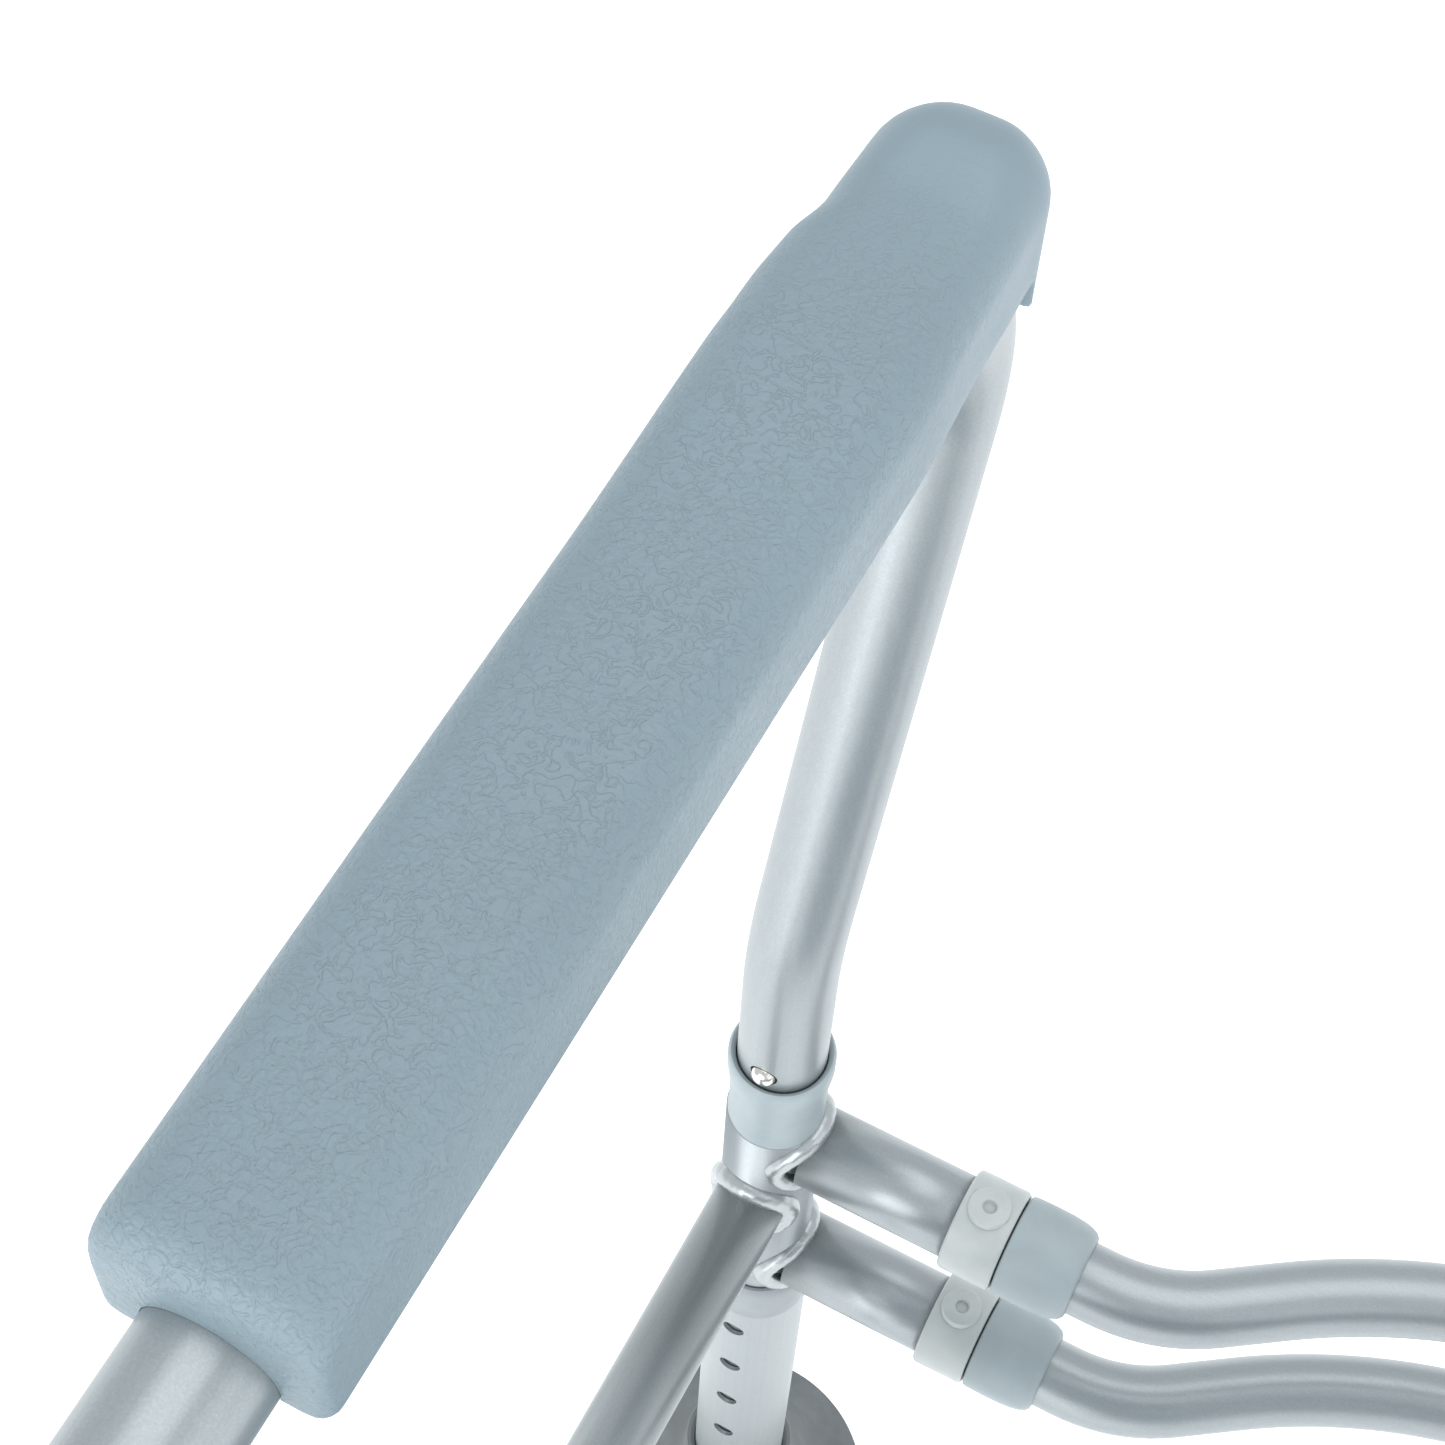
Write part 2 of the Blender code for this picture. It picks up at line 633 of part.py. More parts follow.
def make_saddle(name, side, y, plastic):
    """A block that sits astride the side rail and holds the end of a seat tube."""
    x = [side * v for v in SADDLE_X]
    bm = bmesh.new()
    add_box(
        bm,
        (min(x), y - SADDLE_HALF_Y, SADDLE_Z[0]),
        (max(x), y + SADDLE_HALF_Y, SADDLE_Z[1]),
    )
    saddle = add_object(name, bm, plastic)
    bm = bmesh.new()
    rail_x = side * HALF_WIDTH
    fit = SIDE_RAIL_R + GAP
    start, stop = at(rail_x, y - 0.03, SIDE_RAIL_Z), at(rail_x, y + 0.03, SIDE_RAIL_Z)
    add_cylinder(bm, start, stop, fit, X_AXIS, TUBE_SIDES)
    combine(saddle, add_helper(f"{name}_rail_cut", bm), "DIFFERENCE")
    bm = bmesh.new()
    flat = fit * cos(pi / TUBE_SIDES)
    add_box(bm, (rail_x - flat, y - 0.03, SIDE_RAIL_Z - 0.02), (rail_x + flat, y + 0.03, SIDE_RAIL_Z))
    combine(saddle, add_helper(f"{name}_mouth_cut", bm), "DIFFERENCE")
    bm = bmesh.new()
    start = at(side * (SADDLE_X[0] - 0.01), y, SEAT_TUBE_Z)
    stop = at(side * (SEAT_TUBE_END + GAP), y, SEAT_TUBE_Z)
    add_cylinder(bm, start, stop, fit, Y_AXIS, TUBE_SIDES)
    combine(saddle, add_helper(f"{name}_socket_cut", bm), "DIFFERENCE")


def main():
    clear_scene()
    metal = make_material("satin_aluminium", (0.62, 0.65, 0.67), 0.35, 1.0)
    blue = make_material("blue_grey_plastic", (0.42, 0.52, 0.57), 0.45, 0.0)
    clear = make_material("milky_plastic", (0.68, 0.70, 0.69), 0.40, 0.0)
    soft = make_material("blue_grey_foam", (0.30, 0.40, 0.46), 0.55, 0.0)
    rubber = make_material("grey_rubber", (0.16, 0.17, 0.17), 0.75, 0.0)
    steel = make_material("bright_steel", (0.75, 0.74, 0.72), 0.20, 1.0)
    board = make_material("grey_board", (0.55, 0.58, 0.60), 0.50, 0.0)

    for word, side in SIDES_X:
        make_side_frame(word, side, metal)
        make_arm_tube(word, side, metal)
        make_arm_pad(word, side, soft)
    for end_word, end in ENDS_Y:
        make_seat_tube(f"seat_tube_{end_word}", end * SEAT_TUBE_Y, metal)
        for level, z in LEVELS:
            make_crossbar(f"crossbar_{end_word}_{level}", end, z, metal)
        for side_word, side in SIDES_X:
            word = f"{end_word}_{side_word}"
            place = corner(side, end)
            make_leg(word, place, end, metal, blue, rubber, steel)
            make_socket_collar(f"arm_socket_collar_{word}", place, blue)
            make_button(f"arm_button_{word}", place, -end, ARM_BUTTON_Z, ARM_BUTTON_TIP, steel)
            make_saddle(f"seat_saddle_{word}", side, end * SEAT_TUBE_Y, blue)
            for level, z in LEVELS:
                x = [side * (HALF_WIDTH - s) for s in COLLAR_SPAN]
                name = f"crossbar_collar_{end_word}_{level}_{side_word}"
                make_sleeve(name, *x, end * HALF_DEPTH, z, BAR_R + GAP, COLLAR_R, blue)
                make_locking_ring(f"locking_ring_{end_word}_{level}_{side_word}", side, end, z, clear)
    make_seat(board, soft)


main()
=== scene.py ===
"""Shower stool: the visible model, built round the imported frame. Metres, front towards -Y."""

from math import cos, pi, radians, sin, sqrt, tan

import bmesh
import bpy
from mathutils import Matrix, Vector, noise


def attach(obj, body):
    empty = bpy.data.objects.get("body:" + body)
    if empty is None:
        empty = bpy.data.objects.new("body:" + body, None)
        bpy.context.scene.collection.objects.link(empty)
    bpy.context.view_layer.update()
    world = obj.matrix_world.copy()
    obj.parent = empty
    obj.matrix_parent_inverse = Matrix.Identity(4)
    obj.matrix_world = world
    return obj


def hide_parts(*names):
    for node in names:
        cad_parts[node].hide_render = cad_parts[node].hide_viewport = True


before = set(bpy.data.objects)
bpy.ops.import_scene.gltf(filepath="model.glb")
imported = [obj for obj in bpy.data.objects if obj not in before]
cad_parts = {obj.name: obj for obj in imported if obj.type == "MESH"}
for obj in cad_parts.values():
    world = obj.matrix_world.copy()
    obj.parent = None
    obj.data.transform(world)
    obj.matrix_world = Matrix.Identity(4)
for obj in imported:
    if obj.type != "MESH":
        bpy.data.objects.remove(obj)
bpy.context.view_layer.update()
ops = bpy.ops

HALF_WIDTH = 0.230
HALF_DEPTH = 0.170
RAIL_Z = 0.285
RAIL_DROP = 0.066
SIDE_RAIL_Z = 0.260
POST_R = 0.0125
POST_LOW = 0.050
POST_LENGTH = 0.247
TUBE_R = 0.011
SMALL_TUBE_R = 0.0095
WALL = 0.0012
STUB_LENGTH = 0.0650
STUB_START = 0.0112
RAIL_START = 0.0115
BOSS_AT = 0.0588
RING_START = 0.0520
COLLAR_START = 0.0665
ARM_Z = 0.581
ARM_BEND_R = 0.0467
ARM_LEAN = radians(17.8)
ARM_KINK_Z = 0.3794
ARM_KINK_R = 0.100
ARM_FOOT_Z = 0.270
ARM_BUTTON_Z = 0.333
LEG_R = 0.014
LEG_LOW = 0.0085
LEG_TOP = 0.188
HOLE_PITCH = 0.0285
LEG_TRAVEL = 4 * HOLE_PITCH
LOWEST_HOLE = 0.061
SEAT_TUBE_Y = 0.048
SEAT_TUBE_Z = 0.283
BOARD_Z = 0.2928
CUSHION_Z = 0.3031
CUSHION_TOP = 0.3311
SEAT_POWER = 2.5
SEAT_HALF_WIDTH = 0.185
SEAT_HALF_DEPTH = 0.135
SEAT_TUBE_LENGTH = 0.4536
SIDES = 48
MIX_UNDER, MIX_OVER = 6, 7

ENDS = (("front", -1), ("rear", 1))
FLANKS = (("left", 1), ("right", -1))
LEVELS = (("upper", 0.0), ("lower", RAIL_DROP))


# ---------------------------------------------------------------- finishes


class Finish:
    """A material under construction, with short ways to add its nodes."""

    def __init__(self, name, colour, roughness, metallic=0.0):
        self.material = bpy.data.materials.new(name)
        self.material.use_nodes = True
        self.tree = self.material.node_tree
        self.shader = self.tree.nodes["Principled BSDF"]
        self.shader.inputs["Base Color"].default_value = (*colour, 1)
        self.shader.inputs["Roughness"].default_value = roughness
        self.shader.inputs["Metallic"].default_value = metallic
        self.place = self.tree.nodes.new("ShaderNodeTexCoord").outputs["Object"]
        self.height = None

    def node(self, kind, **settings):
        made = self.tree.nodes.new(kind)
        for key, value in settings.items():
            if key in made.inputs:
                made.inputs[key].default_value = value
            else:
                setattr(made, key, value)
        return made

    def link(self, out, into):
        self.tree.links.new(out, into)

    def stretched(self, scale):
        mapping = self.node("ShaderNodeMapping")
        mapping.inputs["Scale"].default_value = scale
        self.link(self.place, mapping.inputs["Vector"])
        return mapping.outputs["Vector"]

    def noise(self, scale, detail=2.0, roughness=0.5, place=None, distortion=0.0):
        made = self.node("ShaderNodeTexNoise")
        for key, value in (
            ("Scale", scale),
            ("Detail", detail),
            ("Roughness", roughness),
            ("Distortion", distortion),
        ):
            made.inputs[key].default_value = value
        self.link(place or self.place, made.inputs["Vector"])
        return made.outputs["Fac"]

    def ramp(self, value, stops):
        made = self.node("ShaderNodeValToRGB")
        band = made.color_ramp
        while len(band.elements) < len(stops):
            band.elements.new(0.5)
        for element, (at, colour) in zip(band.elements, stops):
            element.position = at
            element.color = (*colour, 1) if len(colour) == 3 else colour
        self.link(value, made.inputs["Fac"])
        return made.outputs["Color"]

    def grey_ramp(self, value, low, high, start=0.3, stop=0.7):
        return self.ramp(value, ((start, (low,) * 3), (stop, (high,) * 3)))

    def bump(self, value, strength, distance):
        made = self.node("ShaderNodeBump")
        made.inputs["Strength"].default_value = strength
        made.inputs["Distance"].default_value = distance
        self.link(value, made.inputs["Height"])
        if self.height:
            self.link(self.height, made.inputs["Normal"])
        self.height = made.outputs["Normal"]
        self.link(self.height, self.shader.inputs["Normal"])


def satin_metal(name, stretch, colour):
    """Anodised tube: fine sparkle, faint draw lines along the tube, soft uneven sheen."""
    made = Finish(name, colour, 0.40, 0.68)
    made.shader.inputs["Specular IOR Level"].default_value = 0.5
    sparkle = made.noise(2300.0, 1.0)
    lines = made.noise(1.0, 4.0, 0.6, made.stretched(stretch))
    cloud = made.noise(35.0, 3.0)
    light = tuple(min(1.0, c * 1.06) for c in colour)
    dark = tuple(c * 0.94 for c in colour)
    tint = made.ramp(sparkle, ((0.30, dark), (0.55, colour), (0.72, light)))
    streak = made.node("ShaderNodeMix", data_type="RGBA", blend_type="MULTIPLY")
    streak.inputs[0].default_value = 1.0
    made.link(tint, streak.inputs[MIX_UNDER])
    made.link(made.grey_ramp(lines, 0.975, 1.015, 0.35, 0.65), streak.inputs[MIX_OVER])
    made.link(streak.outputs[2], made.shader.inputs["Base Color"])
    made.link(made.grey_ramp(cloud, 0.34, 0.38), made.shader.inputs["Roughness"])
    made.bump(sparkle, 0.08, 0.0002)
    made.bump(lines, 0.015, 0.0002)
    return made.material


def grained_skin(name, base, cell):
    """Moulded foam skin: winding wrinkles between soft pebbles, fading out towards the round nose."""
    made = Finish(name, base, 0.46)
    made.shader.inputs["Specular IOR Level"].default_value = 0.45
    made.shader.inputs["Coat Weight"].default_value = 0.08
    made.shader.inputs["Coat Roughness"].default_value = 0.35
    warp = made.node("ShaderNodeTexNoise")
    warp.inputs["Scale"].default_value = 300.0
    warp.inputs["Detail"].default_value = 3.0
    made.link(made.place, warp.inputs["Vector"])
    shift = made.node("ShaderNodeVectorMath", operation="MULTIPLY_ADD")
    made.link(warp.outputs["Color"], shift.inputs[0])
    shift.inputs[1].default_value = (0.0040, 0.0040, 0.0040)
    made.link(made.place, shift.inputs[2])
    web = made.node("ShaderNodeTexVoronoi", feature="DISTANCE_TO_EDGE")
    web.inputs["Scale"].default_value = 1 / cell
    made.link(shift.outputs[0], web.inputs["Vector"])
    pebbles = made.ramp(web.outputs["Distance"], ((0.0, (0,) * 3), (0.24, (1,) * 3)))
    away = made.node("ShaderNodeMath", operation="SUBTRACT")
    made.link(made.noise(330.0, 2.0, 0.55, distortion=0.9), away.inputs[0])
    away.inputs[1].default_value = 0.5
    fold = made.node("ShaderNodeMath", operation="ABSOLUTE")
    made.link(away.outputs[0], fold.inputs[0])
    wrinkles = made.ramp(fold.outputs[0], ((0.0, (0,) * 3), (0.055, (1,) * 3)))
    patch = made.noise(40.0, 3.0)
    along = made.node("ShaderNodeSeparateXYZ")
    made.link(made.place, along.inputs["Vector"])
    reach = made.node("ShaderNodeMapRange", interpolation_type="SMOOTHSTEP")
    for key, value in (("From Min", -0.205), ("From Max", -0.145), ("To Min", 0.12), ("To Max", 1.0)):
        reach.inputs[key].default_value = value
    made.link(along.outputs["Y"], reach.inputs["Value"])
    faded = []
    for lines, low, high in ((pebbles, 0.30, 0.90), (wrinkles, 1.0, 0.40)):
        share = made.node("ShaderNodeMath", operation="MULTIPLY")
        made.link(made.grey_ramp(patch, low, high, 0.40, 0.60), share.inputs[0])
        made.link(reach.outputs["Result"], share.inputs[1])
        fade = made.node("ShaderNodeMix", data_type="RGBA")
        fade.inputs[MIX_UNDER].default_value = (1, 1, 1, 1)
        made.link(share.outputs[0], fade.inputs[0])
        made.link(lines, fade.inputs[MIX_OVER])
        faded.append(fade.outputs[2])
    wash = made.noise(14.0, 3.0)
    dark = tuple(c * 0.95 for c in base)
    made.link(made.ramp(wash, ((0.35, dark), (0.65, base))), made.shader.inputs["Base Color"])
    made.link(made.grey_ramp(patch, 0.42, 0.50), made.shader.inputs["Roughness"])
    made.bump(faded[0], 0.42, 0.0004)
    made.bump(faded[1], 0.45, 0.0004)
    made.bump(made.noise(1100.0, 2.0), 0.06, 0.0003)
    return made.material


def moulded_plastic(name, base, roughness, through=0.0, pit=0.05):
    """Satin moulding: faint flow clouds and a fine spark-eroded texture."""
    made = Finish(name, base, roughness)
    made.shader.inputs["Specular IOR Level"].default_value = 0.45
    if through:
        made.shader.inputs["Subsurface Weight"].default_value = through
        made.shader.inputs["Subsurface Radius"].default_value = (0.004, 0.004, 0.004)
        made.shader.inputs["Subsurface Scale"].default_value = 0.5
    cloud = made.noise(60.0, 4.0, 0.6, distortion=0.6)
    light = tuple(min(1.0, c * 1.06) for c in base)
    dark = tuple(c * 0.93 for c in base)
    made.link(made.ramp(cloud, ((0.3, dark), (0.7, light))), made.shader.inputs["Base Color"])
    made.link(
        made.grey_ramp(made.noise(140.0, 3.0), roughness - 0.05, roughness + 0.08),
        made.shader.inputs["Roughness"],
    )
    made.bump(made.noise(1500.0, 2.0), pit, 0.0003)
    return made.material


def dull_rubber(name, base):
    """Rubber foot: powdery bloom in patches."""
    made = Finish(name, base, 0.72)
    made.shader.inputs["Specular IOR Level"].default_value = 0.3
    bloom = made.noise(45.0, 5.0, 0.65)
    pale = tuple(c * 1.25 for c in base)
    dark = tuple(c * 0.82 for c in base)
    tint = made.ramp(bloom, ((0.32, dark), (0.52, base), (0.72, pale)))
    made.link(tint, made.shader.inputs["Base Color"])
    made.link(made.grey_ramp(bloom, 0.62, 0.84), made.shader.inputs["Roughness"])
    made.bump(made.noise(900.0, 3.0), 0.12, 0.0004)
    return made.material


def bright_button(name):
    """Polished steel with faint rub marks."""
    made = Finish(name, (0.80, 0.78, 0.75), 0.16, 1.0)
    rub = made.noise(420.0, 4.0, 0.6)
    made.link(made.grey_ramp(rub, 0.10, 0.26), made.shader.inputs["Roughness"])
    tint = made.ramp(rub, ((0.3, (0.70, 0.67, 0.63)), (0.7, (0.86, 0.84, 0.81))))
    made.link(tint, made.shader.inputs["Base Color"])
    made.bump(rub, 0.04, 0.0002)
    return made.material


def weld_metal(name):
    """Laid metal, smoother and a little brighter than the tubes it joins."""
    made = Finish(name, (0.50, 0.53, 0.54), 0.30, 0.75)
    ripple = made.noise(300.0, 2.0)
    made.link(made.grey_ramp(ripple, 0.24, 0.36), made.shader.inputs["Roughness"])
    made.bump(ripple, 0.05, 0.0003)
    return made.material


METAL_COLOUR = (0.410, 0.446, 0.460)
UPRIGHT = satin_metal("satin_tube_upright", (900.0, 900.0, 9.0), METAL_COLOUR)
ACROSS = satin_metal("satin_tube_across", (9.0, 900.0, 900.0), METAL_COLOUR)
ALONG = satin_metal("satin_tube_along", (900.0, 9.0, 900.0), METAL_COLOUR)
WELD = weld_metal("weld_bead")
SKIN = grained_skin("grained_foam_skin", (0.245, 0.326, 0.372), 0.0022)
BLUE = moulded_plastic("blue_grey_moulding", (0.385, 0.452, 0.474), 0.42)
PALE = moulded_plastic("pale_grey_moulding", (0.35, 0.385, 0.405), 0.42)
MILKY = moulded_plastic("milky_moulding", (0.55, 0.585, 0.58), 0.34, through=0.25)
BOARD = moulded_plastic("seat_board_moulding", (0.50, 0.55, 0.58), 0.50, pit=0.12)
RUBBER = dull_rubber("grey_rubber_foot", (0.20, 0.215, 0.22))
STEEL = bright_button("bright_spring_button")


# ---------------------------------------------------------------- making


def into_edit():
    ops.object.mode_set(mode="EDIT")
    ops.mesh.select_all(action="SELECT")


def out_of_edit():
    ops.object.mode_set(mode="OBJECT")


def start_ring(name, centre, along, radius, sides=SIDES):
    """An open ring of vertices, square to a direction, ready to be pulled and bent into a tube."""
    ops.object.select_all(action="DESELECT")
    turn = Vector(along).to_track_quat("Z", "Y").to_euler()
    ops.mesh.primitive_circle_add(vertices=sides, radius=radius, location=centre, rotation=turn)
    piece = bpy.context.object
    piece.name = piece.data.name = name
    ops.object.transform_apply(location=True, rotation=True, scale=True)
    into_edit()
    return piece


def pull(x=0.0, y=0.0, z=0.0):
    ops.mesh.extrude_region_move(TRANSFORM_OT_translate={"value": (x, y, z)})


def bend(centre, axis, angle, steps):
    """Sweep the open end round a bend, right-handed about the axis."""
    ops.mesh.spin(steps=steps, angle=-angle, center=centre, axis=axis)


def settle(piece, angle=35):
    """Leave edit mode with doubles merged, normals out and smooth shading."""
    ops.mesh.select_all(action="SELECT")
    ops.mesh.remove_doubles(threshold=0.00002)
    ops.mesh.normals_make_consistent(inside=False)
    out_of_edit()
    ops.object.shade_smooth_by_angle(angle=radians(angle))
    return piece


def apply_modifiers(piece):
    bpy.context.view_layer.objects.active = piece
    for modifier in list(piece.modifiers):
        ops.object.modifier_apply(modifier=modifier.name)


def give_wall(piece, wall=WALL):
    solid = piece.modifiers.new("wall", "SOLIDIFY")
    solid.thickness = wall
    solid.offset = -1
    apply_modifiers(piece)
    return piece


def cut(piece, cutter):
    made = piece.modifiers.new("cut", "BOOLEAN")
    made.operation = "DIFFERENCE"
    made.solver = "EXACT"
    made.object = cutter
    apply_modifiers(piece)
    bpy.data.objects.remove(cutter)
    ops.object.select_all(action="DESELECT")
    piece.select_set(True)
    ops.object.shade_smooth_by_angle(angle=radians(35))
    return piece


def turned(name, profile, centre, along=(0, 0, 1), sides=SIDES):
    """A piece turned from (radius, height) points, closed on itself if the last is the first."""
    radius, height = profile[0]
    piece = start_ring(name, (0, 0, height), (0, 0, 1), radius, sides)
    if profile[-1] != profile[0]:
        ops.mesh.edge_face_add()
    for (r0, h0), (r1, h1) in zip(profile, profile[1:]):
        pull(z=h1 - h0)
        ops.transform.resize(value=(r1 / r0, r1 / r0, 1), center_override=(0, 0, h1))
    settle(piece)
    piece.location = centre
    piece.rotation_euler = Vector(along).to_track_quat("Z", "Y").to_euler()
    ops.object.transform_apply(location=True, rotation=True, scale=True)
    return piece


def rounded_block(name, low, high, edge, steps=3):
    """A moulded block: a cube sized and then bevelled all round."""
    ops.object.select_all(action="DESELECT")
    middle = [(a + b) / 2 for a, b in zip(low, high)]
    size = [abs(b - a) for a, b in zip(low, high)]
    ops.mesh.primitive_cube_add(size=1, location=middle)
    piece = bpy.context.object
    piece.name = piece.data.name = name
    piece.scale = size
    ops.object.transform_apply(location=True, rotation=True, scale=True)
    into_edit()
    ops.mesh.bevel(offset=edge, segments=steps, profile=0.5)
    return settle(piece, 50)


def join(name, pieces):
    ops.object.select_all(action="DESELECT")
    for piece in pieces:
        piece.select_set(True)
    bpy.context.view_layer.objects.active = pieces[0]
    ops.object.join()
    piece = bpy.context.object
    piece.name = piece.data.name = name
    return piece


def paint(piece, material):
    piece.data.materials.clear()
    piece.data.materials.append(material)
    return piece


def twin(piece, name, x=1, y=1, drop=0.0):
    """A copy with its own mesh, mirrored across the middle planes or lowered."""
    other = piece.copy()
    other.data = piece.data.copy()
    other.name = other.data.name = name
    bpy.context.scene.collection.objects.link(other)
    other.data.transform(Matrix.Translation((0, 0, -drop)) @ Matrix.Diagonal((x, y, 1, 1)))
    if x * y < 0:
        other.data.flip_normals()
    return other


def mount(piece, body, slot, *nodes):
    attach(piece, body)
    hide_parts(*nodes)
    return piece


def for_corners(piece, kind, body, slot):
    """Stand a front left piece and its mirror twins at all four corners."""
    for end, y in ENDS:
        for flank, x in FLANKS:
            word = f"{end}_{flank}"
            same = x == 1 and y == -1
            made = piece if same else twin(piece, f"{kind}_{word}_finish", x, -y)
            made.name = made.data.name = f"{kind}_{word}_finish"
            mount(made, body.format(word), slot, f"{kind}_{word}")


def loft(name, rings, cap=True):
    """A skin over rings of points, closed at both ends."""
    bm = bmesh.new()
    rows = [[bm.verts.new(p) for p in ring] for ring in rings]
    for first, second in zip(rows, rows[1:]):
        for i in range(len(first)):
            j = (i + 1) % len(first)
            bm.faces.new((first[i], first[j], second[j], second[i]))
    if cap:
        bm.faces.new(rows[0])
        bm.faces.new(rows[-1])
    bmesh.ops.recalc_face_normals(bm, faces=bm.faces)
    mesh = bpy.data.meshes.new(name)
    bm.to_mesh(mesh)
    bm.free()
    piece = bpy.data.objects.new(name, mesh)
    bpy.context.scene.collection.objects.link(piece)
    ops.object.select_all(action="DESELECT")
    piece.select_set(True)
    bpy.context.view_layer.objects.active = piece
    ops.object.shade_smooth_by_angle(angle=radians(40))
    return piece


# ---------------------------------------------------------------- side frames


def weld_ring(name, post, direction, tube_r, post_r, bead):
    """A laid bead round the joint of a tube and a post, with the ripple of each puddle."""
    along = Vector(direction)
    other = along.cross(Vector((0, 0, 1))).normalized()
    count, around = 144, 16
    rings = []
    for i in range(count):
        a = 2 * pi * i / count
        across = tube_r * cos(a)
        out = sqrt(post_r * post_r - across * across)
        centre = Vector(post) + along * out + other * across + Vector((0, 0, tube_r * sin(a)))
        radial = (other * cos(a) + Vector((0, 0, sin(a)))).normalized()
        ripple = 1 + 0.015 * sin(a * 22) + 0.12 * noise.noise(centre * 110)
        ring = []
        for j in range(around):
            b = 2 * pi * j / around
            ring.append(centre + (radial * cos(b) + along * sin(b)) * (bead * ripple))
        rings.append(ring)
    rings.append(rings[0])
    piece = loft(name, rings, cap=False)
    into_edit()
    settle(piece, 80)
    return paint(piece, WELD)


def make_side_frame():
    """Two posts, their stubs and the side rail, welded into one."""
    x = HALF_WIDTH
    parts = []
    for end, y_sign in ENDS:
        y = y_sign * HALF_DEPTH
        post = start_ring("post", (x, y, POST_LOW), (0, 0, 1), POST_R)
        pull(z=POST_LENGTH)
        parts.append(paint(give_wall(settle(post), 0.001), UPRIGHT))
        for _, drop in LEVELS:
            z = RAIL_Z - drop
            stub = start_ring("stub", (x - STUB_START, y, z), (-1, 0, 0), TUBE_R)
            pull(x=-(STUB_LENGTH - STUB_START))
            parts.append(paint(give_wall(settle(stub)), ACROSS))
            parts.append(weld_ring("stub_weld", (x, y, z), (-1, 0, 0), TUBE_R, POST_R, 0.0029))
        joint = (x, y, SIDE_RAIL_Z)
        parts.append(weld_ring("rail_weld", joint, (0, -y_sign, 0), SMALL_TUBE_R, POST_R, 0.0034))
    rail = start_ring("rail", (x, -HALF_DEPTH + RAIL_START, SIDE_RAIL_Z), (0, 1, 0), SMALL_TUBE_R)
    pull(y=2 * (HALF_DEPTH - RAIL_START))
    parts.append(paint(give_wall(settle(rail)), ALONG))
    left = join("side_frame_left_finish", parts)
    right = twin(left, "side_frame_right_finish", -1)
    mount(left, "frame", "satin_aluminium", "side_frame_left")
    mount(right, "frame", "satin_aluminium", "side_frame_right")


# ---------------------------------------------------------------- crossbars


def make_crossbars():
    """Straight ends that plug into the stubs, a bend outwards, then one long bow."""
    turn, bend_r = radians(34.9), 0.048
    straight_end, arc_start, plug_end = 0.0905, 0.132, 0.030
    y, z = -HALF_DEPTH, RAIL_Z
    slope = (arc_start - straight_end - bend_r * sin(turn)) / cos(turn)
    rise = bend_r * (1 - cos(turn)) + slope * sin(turn)
    arc_r = (HALF_WIDTH - arc_start) / sin(turn)
    apex = rise + arc_r * (1 - cos(turn))
    plug = (HALF_WIDTH - plug_end, y, z)
    bar = start_ring("crossbar_front_upper_finish", plug, (-1, 0, 0), SMALL_TUBE_R)
    pull(x=plug_end - straight_end)
    bend((HALF_WIDTH - straight_end, y - bend_r, z), (0, 0, 1), turn, 10)
    pull(x=-slope * cos(turn), y=-slope * sin(turn))
    bend((0, y - apex + arc_r, z), (0, 0, 1), -2 * turn, 40)
    pull(x=-slope * cos(turn), y=slope * sin(turn))
    bend((straight_end - HALF_WIDTH, y - bend_r, z), (0, 0, 1), turn, 10)
    pull(x=plug_end - straight_end)
    paint(give_wall(settle(bar)), ACROSS)
    for end, y_sign in ENDS:
        for level, drop in LEVELS:
            name = f"crossbar_{end}_{level}"
            first = end == "front" and level == "upper"
            made = bar if first else twin(bar, f"{name}_finish", 1, -y_sign, drop)
            mount(made, "frame", "satin_aluminium", name)


